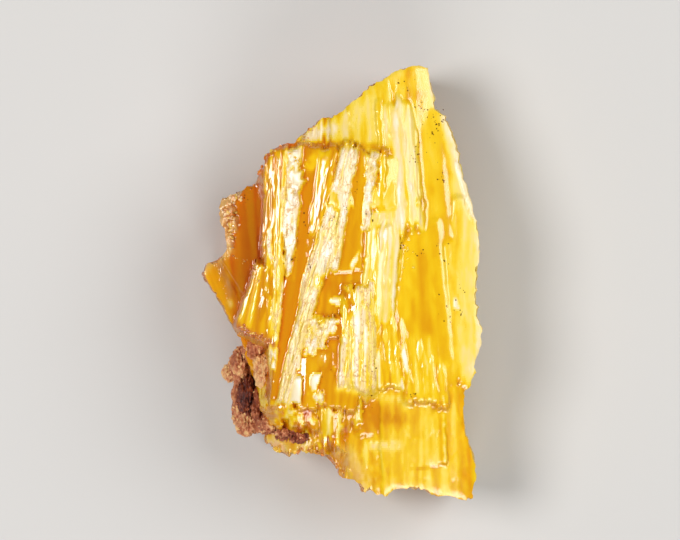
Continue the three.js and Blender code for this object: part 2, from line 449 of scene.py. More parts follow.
        # laid on what is there: its own fields first, then those that may fade in from its edges
        share = np.clip((new - z) / b["soft"] + 0.5, 0, 1)
        calm, crackle = float(b["skin"] in ("smooth", "glassy")), crackles[b["skin"]]
        softness = b["soften"] + past * (b["footSoft"] - b["soften"])
        for field, value in ((self.lean, lean), (self.calm, calm), (self.softness, softness)):
            field[here] += share * (value - field[here])
        if b["fade"]:
            share = share * np.clip(inside / b["fade"], 0, 1)
        if b["endFade"]:
            share = share * np.clip(within / b["endFade"], 0, 1)
        for field, value in ((self.tone, tone), (self.blush, b["blush"]), (self.crackle, crackle),
                             (self.dull, b["dull"])):
            field[here] += share * (value - field[here])
        self.z[here] = np.maximum(z, new)

    def strew(self, count, seed):
        # short pointed splinters, each along the blade that it lies on
        draw = np.random.default_rng(seed)
        for number in range(count):
            x, y = draw.uniform(*crystal["strewnAcross"]), draw.uniform(*crystal["strewnUp"])
            half, reach = draw.uniform(*crystal["strewnHalf"]), draw.uniform(*crystal["strewnReach"])
            rise, tilt = draw.uniform(0.0, 0.025), draw.normal(0.03, 0.12)
            change, skew = draw.normal(0.02, 0.1), draw.uniform(-0.7, 0.7)
            lean = self.lean[self.place(x, y)]
            ends = [(x - lean * reach, y - reach), (x, y), (x + lean * reach, y + reach)]
            low, middle, high = (self.heightAt(*end) for end in ends)
            calm = max(self.calm[self.place(*end)] for end in ends)
            if calm > 0.4 or max(abs(low - middle), abs(high - middle)) > crystal["strewnStep"]:
                continue
            here = self.window(np.array(ends), 0.2)
            along = (self.y[here] - y) / reach
            across = self.x[here] - x - (self.y[here] - y) * lean - skew * half * along
            inside = half * (1 - np.abs(along) ** 1.6) - np.abs(across)
            new = np.where(along > 0, middle + (high - middle) * along, middle + (middle - low) * along)
            new = new + rise + tilt * across + 1.5 * np.clip(inside, -9, 0)
            share = np.clip((new - self.z[here]) / 0.01 + 0.5, 0, 1) * (inside > -0.02)
            self.tone[here] += share * (self.tone[self.place(x, y)] + change - self.tone[here])
            self.z[here] = np.where(share > 0, np.maximum(self.z[here], new), self.z[here])

    def soften(self, rounds):
        # worn parts are rounded off: each point drifts towards its neighbours
        shifts = ((1, 0), (-1, 0), (2, 0), (-2, 0), (0, 1), (0, -1))
        for turn in range(rounds):
            for field in (self.z, self.tone):
                around = sum(np.roll(field, shift, (0, 1)) for shift in shifts)
                field += self.softness * (around / len(shifts) - field)

    def measureRim(self):
        # how far inside the outline each point is
        inside = np.zeros(self.x.shape, bool)
        for (ax, ay), (bx, by) in zip(outline, (*outline[1:], outline[0])):
            if ay != by:
                crosses = (ay > self.y) != (by > self.y)
                inside ^= crosses & (self.x < ax + (bx - ax) * (self.y - ay) / (by - ay))
        self.rim = self.distance(outline, closed=True) * np.where(inside, 1, -1)

    def paintShade(self):
        # painted shade: the hollows between the ribs are given a deeper colour
        around = self.z.copy()
        shifts = ((1, 0), (2, 0), (4, 0), (0, 1), (0, 2))
        for across, along in shifts:
            ahead, behind = (np.roll(self.z, (way * across, way * along), (0, 1)) for way in (1, -1))
            around += ahead + behind
        around /= 1 + 2 * len(shifts)
        self.tone -= ((around - self.z) * 7.0).clip(-0.04, 0.13) * (1 - self.dull)
        # painted shade: steep faces are made gold at the palest
        steep = np.hypot(*np.gradient(self.z, *self.step))
        self.tone += ((steep - 0.9) / 1.5).clip(0, 0.7) * (np.minimum(self.tone, gold) - self.tone)

    def distance(self, path, closed=False):
        path = np.array([*path, path[0]] if closed else path, float)
        nearest = np.full(self.x.shape, 99.0)
        for a, b in zip(path[:-1], path[1:]):
            step = b - a
            t = np.clip(((self.x - a[0]) * step[0] + (self.y - a[1]) * step[1]) / (step @ step), 0, 1)
            away = np.hypot(self.x - a[0] - t * step[0], self.y - a[1] - t * step[1])
            nearest = np.minimum(nearest, away)
        return nearest

    def solid(self, name):
        # a closed block with the lattice as its top, standing on the floor
        nx, ny = self.x.shape
        top = np.arange(nx * ny).reshape(nx, ny)
        faces = np.stack([top[:-1, :-1], top[1:, :-1], top[1:, 1:], top[:-1, 1:]], -1).reshape(-1, 4)
        ring = np.concatenate([top[:-1, 0], top[-1, :-1], top[:0:-1, -1], top[0, :0:-1]])
        points = np.stack([self.x, self.y, self.z * thickness], -1).reshape(-1, 3)
        below = points[ring] * (1, 1, 0)
        under = nx * ny + np.arange(len(ring))
        walls = np.stack([under, np.roll(under, -1), np.roll(ring, -1), ring], 1)
        allFaces = [*faces.tolist(), *walls.tolist(), under[::-1].tolist()]
        mesh = meshOf(name, np.concatenate([points, below]), allFaces)
        rest = np.zeros(len(ring) + 1)
        fields = {}
        for field in ("tone", "lean", "blush", "crackle", "dull"):
            value = getattr(self, field)
            middle = (value[:-1, :-1] + value[1:, :-1] + value[1:, 1:] + value[:-1, 1:]) / 4
            fields[field] = np.concatenate([middle.ravel(), rest + gold * (field == "tone")])
        writeFaces(mesh, **fields)
        return mesh


designThickness = 5.35  # the heights in these tables are for a specimen this thick
thickness = (cadBox[1].z / mm) / designThickness

# the specimen's outline from above, from the top of the apex round by the left
outline = (
    (3.4, 8.65), (2.8, 8.68), (2.05, 8.4), (1.6, 8.1), (1.05, 7.8), (0.35, 7.2), (-0.1, 6.82), (-0.5, 6.68),
    (-0.87, 6.62), (-1.3, 6.17), (-1.8, 5.68), (-1.82, 5.56), (-2.15, 5.56), (-2.75, 5.34), (-2.95, 5.05),
    (-3.3, 4.35), (-3.5, 3.92), (-4.2, 3.76), (-4.6, 3.5), (-4.85, 3.2), (-4.9, 2.7), (-4.7, 2.1),
    (-4.6, 1.5), (-4.75, 1.15), (-5.1, 0.92), (-5.45, 0.72), (-5.65, 0.4), (-5.5, 0.1), (-4.9, -0.75),
    (-4.15, -2.1), (-3.8, -3.0), (-3.4, -4.2), (-3.15, -5.4), (-3.05, -6.4), (-2.6, -6.68), (-2.05, -6.98),
    (-1.65, -6.72), (-0.8, -6.82), (-0.6, -6.98), (-0.17, -7.52), (0.05, -7.78), (0.37, -7.8),
    (0.66, -8.02), (0.74, -8.27), (0.93, -8.4), (1.22, -8.24), (1.4, -8.4), (1.78, -8.45), (2.1, -8.14),
    (2.6, -8.2), (3.05, -8.2), (3.75, -8.48), (4.58, -8.53), (5.0, -8.64), (5.28, -8.48), (5.38, -7.65),
    (5.27, -6.72), (4.97, -5.9), (4.9, -5.0), (4.88, -4.2), (5.05, -4.1), (5.35, -3.45), (5.35, -3.1),
    (5.5, -2.6), (5.62, -1.8), (5.42, -1.3), (5.45, -0.7), (5.4, -0.1), (5.55, 1.15), (5.4, 2.4),
    (5.17, 3.25), (4.8, 4.7), (4.47, 5.82), (4.18, 6.68), (3.76, 7.0), (3.62, 7.8), (3.53, 8.45),
)

# each blade's corners in plan, its height over the floor at points across its tip and foot, and its tones
blades = {
    # the tall plates behind
    "apex": dict(
        tip=((1.6, 8.9), (3.8, 8.9)), foot=((1.9, -3.8), (4.2, -3.8)),
        top=((0, 4.35, 4.8), (0.35, 4.42, 4.8), (0.6, 4.36, 4.8), (1, 4.2, 4.6)), tones=(0.6, 0.57, 0.6),
        skin="glassy", stripes=0.035, soften=0.2, dull=0.4),
    "besideApex": dict(
        tip=((0.2, 8.6), (1.9, 8.9)), foot=((0.3, 3.0), (2.2, 3.0)), fade=0.3,
        top=((0, 4.25, 5.2), (0.5, 4.27, 5.22), (1, 4.3, 5.2)), tones=(pale, pale), soft=0.1, skin="glassy",
        stripes=0.11, dull=0.4),
    "rearMiddle": dict(
        tip=((-0.4, 7.8), (0.6, 7.9)), foot=((-0.5, 3.0), (0.5, 3.0)), fade=0.15,
        top=((0, 4.3, 5.25), (0.5, 4.3, 5.3), (1, 4.3, 5.27)), tones=(pale, cream), sparkle=0.05, soft=0.1,
        skin="glassy", stripes=0.09, dull=0.4),
    "rearLeft": dict(
        tip=((-2.0, 7.0), (-0.3, 7.2)), foot=((-2.3, 3.0), (-0.4, 3.0)), stripes=0.26,
        top=((0, 4.2, 4.95), (0.4, 4.25, 5.05), (1, 4.3, 5.2)), tones=(0.9, 0.9), sparkle=0.1,
        skin="ribbed"),
    "rearEdge": dict(
        tip=((-3.8, 5.9), (-1.5, 5.9)), foot=((-3.1, 4.2), (-2.0, 4.2)), wall=4.0,
        top=((0, 4.75, 4.8), (1, 4.8, 4.85)), tones=(orange,), skin="crumbly", blush=0.2),
    "valley": dict(
        tip=((2.75, 7.4), (3.9, 7.4)), foot=((3.1, 1.6), (4.4, 1.6)), fade=0.55, endFade=0.6,
        top=((0, 4.3, 4.86), (0.5, 4.28, 4.85), (1, 4.27, 4.83)), tones=(0.6, 0.6), skin="glassy",
        stripes=0.04, tipDrop=0.0, footDrop=0.0, soften=0.6, dull=0.3),
    "shoulder": dict(
        tip=((3.55, 7.4), (4.9, 7.4)), foot=((3.9, 1.5), (5.9, 1.5)), fade=0.8, endFade=0.5,
        top=((0, 4.26, 4.7), (0.25, 4.29, 4.75), (0.75, 4.26, 4.7), (1, 4.2, 4.66)),
        tones=(0.62, pale, pale), skin="glassy", ragged=0.4, stripes=0.06, tipDrop=0.0, footDrop=0.0,
        tipWall=0.8, soften=0.2, dull=0.6),
    "outer": dict(
        tip=((3.8, 3.1), (5.8, 2.6)), foot=((3.7, -4.1), (5.8, -4.1)), fade=0.4, endFade=0.6,
        top=((0, 4.68, 4.9), (0.3, 4.72, 4.93), (0.7, 4.68, 4.9), (1, 4.62, 4.83)),
        tones=(0.66, pale, pale), skin="glassy", ragged=0.5, stripes=0.06, tipDrop=0.0, tipWall=0.8,
        soften=0.2, footSoft=0.5, dull=0.6, footWall=2.0, endTone=yellow),
    # the body: grooves, columns and plates that stand side by side
    "under": dict(
        tip=((-2.9, 5.2), (1.9, 4.6)), foot=((-2.8, -4.6), (0.6, -5.0)), wall=9.0,
        top=((0, 4.95, 4.6), (0.4, 5.05, 4.95), (1, 5.1, 5.05)), tones=(gold, gold), stripes=0.05,
        tipWall=2.5, endTone=0.5, ragged=0.25, footWall=2.5, tipDrop=0.12),
    "pocket": dict(
        tip=((1.9, 2.4), (3.9, 2.4)), foot=((2.0, -3.2), (4.4, -3.1)), fade=0.4,
        top=((0, 4.93, 5.0), (0.6, 4.88, 4.96), (1, 4.87, 4.93)), tones=(0.57, 0.55), skin="glassy",
        stripes=0.05, footDrop=0.0, soften=0.4, dull=0.15, footWall=3.0, endFade=0.2),
    "edgeColumn": dict(
        tip=((-2.95, 5.2), (-2.08, 5.42)), foot=((-3.06, -0.5), (-2.35, -0.8)),
        top=((0, 5.11, 4.99), (0.25, 5.15, 5.04), (1, 5.19, 5.07)), tones=(0.47, 0.4), wall=9.0,
        skin="threaded", sparkle=0.05, sideTone=orange, stripes=0.12, tipWall=2.5, tipDrop=0.12),
    "flare": dict(
        tip=((-3.3, 0.85), (-2.7, 0.5)), foot=((-4.13, -1.7), (-2.7, -2.45)),
        top=((0, 5.06, 4.82), (1, 5.09, 4.9)), tones=(0.47,), skin="striated", wall=9.0, sideTone=orange,
        stripes=0.06, footWall=5.0, shoulder=0.01, footSoft=0.0, tipDrop=0.0),
    "edgeThread": dict(
        tip=((-2.6, 1.0), (-2.2, 1.0)), foot=((-2.84, -3.2), (-2.5, -3.3)),
        top=((0, 5.08, 4.8), (1, 5.15, 4.9)), tones=(pale,), skin="splintered", sparkle=0.1, wall=9.0,
        footWall=4.0),
    "brokenStrip": dict(
        tip=((-2.15, 5.35), (-1.5, 5.42)), foot=((-2.2, 0.4), (-1.97, 0.4)),
        top=((0, 5.16, 5.13), (1, 5.26, 5.18)), tones=(white,), skin="crumbly", wave=0.06, tipWall=2.5,
        tipDrop=0.12),
    "amberGroove": dict(
        tip=((-1.55, 5.45), (-0.75, 5.42)), foot=((-2.2, 0), (-1.45, 0)),
        top=((0, 5.1, 5.03), (1, 5.08, 5.01)), tones=(orange + 0.03,), stripes=0.05, tipWall=2.5,
        tipDrop=0.12),
    "amberFoot": dict(
        tip=((-2.25, 0.3), (-1.42, 0.3)), foot=((-2.8, -4.5), (-2.35, -4.65)),
        top=((0, 5.03, 4.7), (1, 5.01, 4.72)), tones=(orange + 0.03,), wall=4.0, footWall=3.0, endTone=0.3),
    "goldRibs": dict(
        tip=((-0.85, 5.3), (-0.1, 5.3)), foot=((-1.3, 1.8), (-0.85, 1.8)),
        top=((0, 5.12, 5.08), (1, 5.18, 5.13)), tones=(0.46,), sparkle=0.03, ragged=0.15, tipWall=2.5,
        skin="veined", tipDrop=0.12),
    "slantUpper": dict(
        tip=((0.1, 5.45), (0.64, 5.4)), foot=((-1.32, 0.4), (-0.12, 0.6)),
        top=((0, 5.16, 5.1), (1, 5.26, 5.32)), tones=(0.95,), skin="splintered", ragged=0.15, tipWall=2.5,
        tipDrop=0.12),
    "slantLower": dict(
        tip=((-1.3, 1.0), (-0.5, 1.0)), foot=((-2.5, -4.7), (-2.15, -4.75)),
        top=((0, 5.1, 4.8), (1, 5.28, 4.93)), tones=(0.95,), skin="splintered", footWall=3.0, endTone=0.3),
    "goldSmooth": dict(
        tip=((0.58, 5.3), (1.02, 5.1)), foot=((-0.3, 0.4), (0.8, 0.4)),
        top=((0, 5.16, 5.16), (1, 5.18, 5.17)), tones=(gold + 0.02,), tipWall=2.5, tipDrop=0.12),
    "ladder": dict(
        tip=((1.0, 5.25), (1.48, 5.2)), foot=((0.7, 1.9), (1.12, 1.9)),
        top=((0, 5.16, 5.16), (1, 5.26, 5.24)), tones=(white,), skin="laddered", wave=0.07, ragged=0.15,
        tipWall=2.5, tipDrop=0.12),
    "thread": dict(
        tip=((1.46, 5.1), (1.78, 5.05)), foot=((1.42, 2.75), (1.72, 2.7)),
        top=((0, 5.17, 5.17), (1, 5.18, 5.15)), tones=(0.56,), tipWall=2.5, tipDrop=0.12),
    "creamUpper": dict(
        tip=((1.72, 5.05), (2.4, 5.0)), foot=((1.65, 2.7), (2.45, 2.6)),
        top=((0, 5.1, 5.14), (1, 4.82, 5.06)), tones=(cream,), skin="veined", wall=3.0, fade=0.1,
        endFade=0.3, ragged=0.15, stripes=0.08),
    "creamRibs": dict(
        tip=((1.12, 2.9), (2.3, 3.1)), foot=((0.75, -0.2), (1.5, -0.2)), soft=0.04,
        top=((0, 5.16, 5.12), (1, 5.1, 5.17)), tones=(cream,), skin="veined", ragged=0.06, stripes=0.06,
        endFade=0.15),
    "tongue": dict(
        tip=((1.35, 2.4), (2.3, 2.3)), foot=((1.15, -1.5), (2.05, -1.45)), soft=0.04,
        top=((0, 5.18, 5.12), (0.5, 5.27, 5.18), (1, 5.16, 5.08)), tones=(pale, cream), skin="veined",
        ragged=0.25, stripes=0.06),
    "paleBand": dict(
        tip=((1.5, 7.5), (2.95, 7.45)), foot=((1.7, 1.85), (3.3, 2.2)), soft=0.05,
        top=((0, 4.58, 5.2), (0.5, 4.6, 5.22), (0.8, 4.5, 5.1), (1, 4.27, 4.95)),
        tones=(cream, cream, pale), skin="veined", tipDrop=0.12, ragged=0.3, wall=1.2, stripes=0.1,
        fade=0.15, endFade=0.4, soften=0.1, dull=0.2, endTone=0.6, footSoft=0.6, tipWall=1.5),
    "bandStripe": dict(
        tip=((1.3, 7.3), (1.62, 7.3)), foot=((1.4, 4.95), (1.74, 4.95)),
        top=((0, 4.6, 4.95), (1, 4.62, 4.97)), tones=(0.57,), fade=0.05, endFade=0.25, wall=4.0,
        tipWall=1.5),
    "plate": dict(
        tip=((0.05, -0.15), (1.32, 0.0)), foot=((-0.1, -4.0), (1.38, -4.1)),
        top=((0, 5.17, 5.1), (0.4, 5.3, 5.22), (0.75, 5.3, 5.22), (1, 5.2, 5.14)),
        tones=(pale, cream, pale), skin="threaded", sparkle=0.08, ragged=0.15, footWall=1.2, endTone=lemon,
        footSoft=0.5),
    # the steps below them
    "stepUpper": dict(
        tip=((1.15, -1.3), (2.4, -1.5)), foot=((1.2, -4.0), (2.7, -4.1)), soft=0.04,
        top=((0, 5.12, 5.08), (1, 5.08, 5.04)), tones=(0.57,), skin="veined", sparkle=0.05, ragged=0.12,
        stripes=0.06, footSoft=0.5, dull=0.2, footWall=2.5, endTone=yellow, footDrop=0.1),
    "stepRight": dict(
        tip=((2.3, -1.6), (4.0, -1.8)), foot=((2.5, -4.6), (4.25, -4.7)), soft=0.04,
        top=((0, 4.99, 5.02), (0.5, 4.97, 5.0), (1, 4.92, 4.95)), tones=(0.59, 0.61), sparkle=0.05,
        skin="veined", ragged=0.12, stripes=0.07, footSoft=0.5, dull=0.2, footWall=2.5, endTone=yellow,
        endFade=0.4, fade=0.2, footDrop=0.1),
    "stepPlate": dict(
        tip=((2.7, -4.95), (4.05, -4.9)), foot=((2.85, -7.2), (4.15, -7.15)),
        top=((0, 4.58, 4.1), (0.5, 4.64, 4.19), (1, 4.73, 4.28)), tones=(0.6, 0.64), skin="glassy",
        footWall=2.5, wall=2.0, dull=0.5, stripes=0.09, fade=0.3),
    "stepGold": dict(
        tip=((-2.6, -4.68), (-1.0, -4.8)), foot=((-2.45, -5.4), (-0.95, -5.6)),
        top=((0, 4.62, 4.35), (0.5, 4.82, 4.6), (1, 4.8, 4.55)), tones=(0.56, 0.5), skin="fractured",
        stripes=0.1, wave=0.12, ragged=0.25, footWall=2.0, sparkle=0.03, dull=0.3, soften=0.15),
    "stepSplinters": dict(
        tip=((-0.95, -4.65), (-0.05, -4.7)), foot=((-0.9, -5.9), (-0.1, -6.1)),
        top=((0, 4.92, 4.25), (0.5, 4.97, 4.35), (1, 4.95, 4.35)), tones=(0.56, 0.64), skin="veined",
        stripes=0.14, wave=0.08, ragged=0.35, footWall=2.0, sparkle=0.03, dull=0.2),
    "stepMiddle": dict(
        tip=((-0.05, -4.4), (0.8, -4.3)), foot=((0.0, -5.4), (0.85, -5.5)),
        top=((0, 4.98, 4.58), (1, 4.95, 4.52)), tones=(0.5,), skin="veined", sparkle=0.03, stripes=0.08),
    "stepLeft": dict(
        tip=((-2.2, -4.4), (-0.1, -4.7)), foot=((-1.8, -6.2), (-0.1, -6.4)),
        top=((0, 4.4, 3.9), (1, 4.6, 4.0)), tones=(0.5,), skin="fractured", sparkle=0.03, footDrop=0.0,
        ragged=0.3, wave=0.15, wall=0.6, footWall=0.6, stripes=0.08, dull=0.3, soften=0.1),
    "shelf": dict(
        tip=((0.6, -4.3), (2.9, -4.5)), foot=((0.7, -6.1), (2.9, -6.1)), wall=0.8, soft=0.2,
        top=((0, 4.69, 4.3), (1, 4.67, 4.28)), tones=(0.36, 0.44), skin="glassy", footDrop=0.0, wave=0.1,
        footWall=1.5, ragged=0.2, soften=0.2, dull=0.3, fade=0.35, endFade=0.25, stripes=0.05),
    # the wing at the left
    "wingUpper": dict(
        tip=((-5.1, 3.6), (-2.7, 5.0)), foot=((-4.7, 0.9), (-2.4, -2.6)),
        top=((0, 3.9, 3.8), (1, 3.75, 3.7)), tones=(0.22,), wave=0.1, stripes=0.06, shoulder=0.0,
        dull=0.15),
    "wingCrust": dict(
        tip=((-5.05, 3.75), (-4.15, 3.9)), foot=((-4.95, 1.3), (-4.4, 1.15)), bulge=0.3, wall=2.0,
        top=((0, 3.98, 3.85), (0.6, 4.0, 3.88), (1, 3.92, 3.82)), tones=(0.86, 0.86), blush=0.68,
        skin="knobbly", wave=0.15, stripes=0.1, soften=0.1),
    "wingLower": dict(
        tip=((-5.7, 0.75), (-4.2, 1.9)), foot=((-4.3, -2.9), (-2.3, -3.8)),
        top=((0, 3.35, 3.35), (0.5, 3.3, 3.3), (1, 3.2, 3.2)), tones=(0.4, 0.35), stripes=0.05,
        shoulder=0.0, dull=0.15),
    # the foot
    "footFarLeft": dict(
        tip=((-3.4, -3.2), (-1.2, -3.4)), foot=((-3.2, -6.8), (-1.45, -7.1)),
        top=((0, 3.0, 2.6), (0.5, 3.2, 2.8), (1, 3.2, 2.7)), tones=(gold, gold), skin="worn", soften=0.15,
        dull=0.6, stripes=0.05),
    "footLeft": dict(
        tip=((-1.7, -3.4), (0.4, -3.4)), foot=((-1.5, -7.6), (0.5, -8.3)),
        top=((0, 3.9, 3.1), (0.5, 4.05, 3.25), (1, 4.05, 3.3)), tones=(0.44, 0.52), skin="glassy", soft=0.1,
        soften=0.15, stripes=0.05),
    "footMiddle": dict(
        tip=((0.3, -3.4), (1.7, -3.4)), foot=((0.3, -8.6), (1.8, -8.8)),
        top=((0, 4.7, 3.64), (0.5, 4.8, 3.72), (1, 4.84, 3.76)), tones=(0.52, 0.56), skin="worn", soft=0.1,
        soften=0.1, dull=0.5, stripes=0.06),
    "footRight": dict(
        tip=((1.5, -3.4), (3.5, -3.4)), foot=((1.6, -8.8), (3.4, -8.8)),
        top=((0, 4.97, 3.78), (0.5, 4.99, 3.81), (1, 4.97, 3.78)), tones=(0.58, 0.58), skin="glassy",
        soft=0.1, soften=0.1, dull=0.4, stripes=0.07),
    "footTail": dict(
        tip=((3.1, -3.4), (5.3, -4.0)), foot=((3.2, -8.8), (5.6, -8.9)),
        top=((0, 4.97, 3.78), (0.6, 4.94, 3.74), (1, 4.86, 3.56)), tones=(0.58, 0.58), skin="glassy",
        soft=0.1, soften=0.1, dull=0.4, stripes=0.07),
    # thin plates on the face of the others, told by how far their left and right edges stand up
    # painted highlight: a white plate where a glint is, tipped to catch the key light
    "columnGlint": dict(
        tip=((-2.86, 2.4), (-2.62, 2.4)), foot=((-2.9, 0.75), (-2.66, 0.75)), rise=(0.01, 0.06),
        tones=(white,), skin="splintered"),
    # painted highlight: a white plate where a glint is, tipped to catch the key light
    "bigFacet": dict(
        tip=((-2.15, 4.5), (-1.52, 4.45)), foot=((-2.05, 3.85), (-1.65, 3.8)), tones=(white,), wave=0.08,
        top=((0, 5.2, 5.2), (1, 5.36, 5.35))),
    "sliver": dict(
        tip=((0.68, 1.4), (0.8, 1.38)), foot=((0.12, 0.62), (0.45, 0.6)), rise=(0.02, 0.08),
        tones=(white,)),
    # painted highlight: a white plate where a glint is, tipped to catch the key light
    "whiteBlock": dict(
        tip=((-0.62, -0.5), (-0.06, -0.52)), foot=((-0.62, -0.86), (-0.08, -0.84)), rise=(0.02, 0.15),
        tones=(white,), wave=0.06),
    "crumbPatch": dict(
        tip=((-1.35, -1.2), (0.0, -1.3)), foot=((-1.5, -2.55), (-0.6, -2.5)), rise=(0.05, 0.15),
        tones=(cream,), skin="crumbly", sparkle=0.2, wave=0.12, ragged=0.2),
    "orangeChip": dict(
        tip=((-0.56, -1.45), (0.1, -1.4)), foot=((-0.6, -2.2), (0.1, -2.2)), rise=(0.06, 0.04),
        tones=(orange,), wave=0.1, ragged=0.15),
    "cap": dict(
        tip=((-1.4, -2.6), (-0.2, -2.55)), foot=((-1.7, -3.4), (-0.25, -3.4)), rise=(0.02, 0.08),
        tones=(0.4,), skin="glassy", wave=0.08, stripes=0.07, soften=0.1),
    # painted highlight: a white plate where a glint is, tipped to catch the key light
    "facetLeft": dict(
        tip=((-1.98, -3.7), (-1.5, -3.65)), foot=((-2.22, -4.75), (-1.55, -4.7)), rise=(0.04, 0.2),
        tones=(white,)),
    "facetUpper": dict(
        tip=((-1.85, -2.75), (-1.57, -2.72)), foot=((-1.9, -3.27), (-1.6, -3.25)), rise=(0.03, 0.12),
        tones=(white,)),
    "facetRow": dict(
        tip=((-1.35, -4.3), (-0.67, -4.28)), foot=((-1.3, -4.65), (-0.7, -4.62)), rise=(0.04, 0.15),
        tones=(cream,), skin="crumbly", sparkle=0.3),
    "facetRight": dict(
        tip=((-1.22, -3.45), (-0.72, -3.4)), foot=((-1.27, -4.2), (-0.78, -4.15)), rise=(0.04, 0.17),
        tones=(white,), sparkle=0.3, wave=0.08),
    # painted highlight: a white plate where a glint is, tipped to catch the key light
    "edgeGlint": dict(
        tip=((4.31, -0.45), (4.6, -0.45)), foot=((4.34, -1.12), (4.65, -1.1)), rise=(0.02, 0.08),
        tones=(white,)),
    "pocketRidge": dict(
        tip=((3.36, 0.55), (3.44, 0.5)), foot=((3.9, -1.5), (3.99, -1.55)), rise=(0.01, 0.03),
        tones=(pale,), soft=0.03),
    "plateWide": dict(
        tip=((0.5, -0.3), (0.78, -0.32)), foot=((0.45, -2.4), (0.76, -2.4)), rise=(0.01, 0.08),
        tones=(white,)),
    "plateThin": dict(
        tip=((0.88, -0.4), (1.08, -0.4)), foot=((0.84, -2.9), (1.02, -2.9)), rise=(0.01, 0.06),
        tones=(white,)),
    "rightRim": dict(
        tip=((4.3, 5.0), (4.6, 4.9)), foot=((5.1, 2.4), (5.4, 2.3)), rise=(0.02, 0.06), tones=(white,),
        skin="ribbed", soft=0.05, stripes=0.05),
}

# tones and blushes brushed on along lines: the line, how wide, and how strong
brushes = {
    "topRim": dict(
        path=((-1.7, 5.85), (-1.2, 6.3), (-0.85, 6.6), (-0.1, 6.85)), width=0.2, tone=orange, strength=1.0),
    "rearClouds": dict(path=((-0.2, 6.1), (0.4, 6.3), (0.9, 6.9)), width=0.3, tone=cream, strength=0.6),
    "apexRim": dict(
        path=((-0.1, 6.8), (1.05, 7.8), (2.05, 8.4), (2.8, 8.65), (3.4, 8.6)), width=0.1, tone=cream,
        blush=0.3, strength=0.7),
    "apexHollow": dict(path=((1.1, 7.5), (2.0, 7.95), (2.9, 7.75)), width=0.22, tone=yellow, strength=0.6),
    "ledgeRim": dict(
        path=((-3.45, 4.0), (-2.9, 5.1), (-2.6, 5.35), (-1.9, 5.5), (-1.2, 5.5), (-0.4, 5.45)), width=0.14,
        tone=amber, strength=1.0),
    "ledgeLine": dict(
        path=((-0.4, 5.5), (0.5, 5.42), (1.3, 5.4), (1.9, 5.15)), width=0.14, tone=gold, strength=0.6),
    "whiteShelf": dict(
        path=((-1.45, 5.75), (-0.9, 5.95), (-0.3, 6.1)), width=0.25, tone=white, strength=0.8),
    # painted highlight: a lemon brush where a glint shines in the groove
    "glow": dict(path=((-1.15, 4.65), (-0.85, 5.05)), width=0.26, tone=0.6, strength=1.0),
    "deepSpot": dict(path=((1.3, 5.35), (1.9, 5.15)), width=0.16, tone=gold, strength=0.9),
    "rightLine": dict(path=((3.45, 8.4), (3.67, 7.0)), width=0.12, tone=white, strength=0.8),
    # painted highlight: the right rim is brushed white where it catches the light
    "upperRim": dict(
        path=((4.1, 6.5), (4.35, 5.7), (4.7, 4.6), (5.05, 3.4)), width=0.2, tone=1.0, strength=1.0),
    # painted highlight: the right rim is brushed pale where it catches the light
    "rightRim": dict(
        path=((4.2, 6.6), (4.8, 4.7), (5.4, 2.4), (5.5, 1.1), (5.4, -0.4), (5.55, -1.8), (5.3, -3.4)),
        width=0.26, tone=0.95, strength=0.8),
    "wingRim": dict(
        path=((-4.2, 3.7), (-4.8, 3.3), (-4.9, 2.6), (-4.6, 1.9), (-4.5, 1.3)), width=0.22, tone=pale,
        blush=0.8, strength=0.9),
    "wingTip": dict(
        path=((-5.6, 0.4), (-5.2, 0.85), (-4.7, 1.15)), width=0.16, tone=pale, blush=0.9, strength=0.8),
    # painted highlight: a soft pink brush on the lower wing
    "wingGlow": dict(
        path=((-4.8, 0.7), (-4.5, 0.1), (-4.4, -0.5)), width=0.12, tone=gold, blush=0.6, strength=0.6),
    # painted highlight: a pale pink spot on the lower wing
    "wingSpot": dict(path=((-4.42, -0.72), (-4.38, -0.85)), width=0.1, tone=cream, blush=0.5, strength=0.9),
    "wingEdge": dict(
        path=((-5.5, 0.1), (-4.9, -0.75), (-4.15, -2.1), (-3.8, -3.0)), width=0.14, tone=gold,
        strength=0.6),
    "flareRim": dict(
        path=((-4.1, -1.65), (-3.4, -2.05), (-2.7, -2.35)), width=0.16, tone=amber, blush=0.4,
        strength=0.9),
    # painted highlight: a pale pink brush on the foot slabs
    "slabGlow": dict(
        path=((0.2, -6.6), (0.7, -7.4), (0.9, -8.1)), width=0.3, tone=pale, blush=0.5, strength=0.8),
    # painted highlight: pale glints brushed on below the shelf
    "slabGlints": dict(path=((1.3, -6.4), (2.2, -6.35)), width=0.2, tone=cream, blush=0.2, strength=0.85),
    "plateLine": dict(
        path=((2.75, -7.3), (3.4, -7.25), (4.1, -7.1)), width=0.05, tone=orange, strength=0.8),
    "plateEdge": dict(path=((4.02, -5.1), (4.1, -6.95)), width=0.06, tone=cream, strength=0.9),
    # painted highlight: a pale pink brush on the left foot lobes
    "farFootGlow": dict(
        path=((-2.7, -6.25), (-2.3, -6.5)), width=0.25, tone=cream, blush=0.75, strength=0.9),
    # painted highlight: a pale pink spot on the foot
    "pinkBump": dict(
        path=((-1.65, -6.45), (-1.35, -6.45)), width=0.18, tone=cream, blush=0.8, strength=0.8),
    # painted highlight: a pink blush on the foot slabs
    "footGlow": dict(path=((0.15, -6.9), (0.6, -7.6)), width=0.25, tone=gold, blush=0.5, strength=0.5),
    "orangePocket": dict(
        path=((-0.7, 0.1), (0.3, -0.4), (0.4, -0.9)), width=0.28, tone=orange, strength=0.8),
    "footBand": dict(
        path=((-0.1, -4.05), (0.5, -4.15), (0.95, -4.25), (1.6, -4.4), (2.5, -4.6)), width=0.17, tone=0.82,
        blush=0.12, strength=0.7),
    "shelfPocket": dict(path=((1.0, -5.1), (2.4, -5.3)), width=0.35, tone=orange, strength=0.6),
}

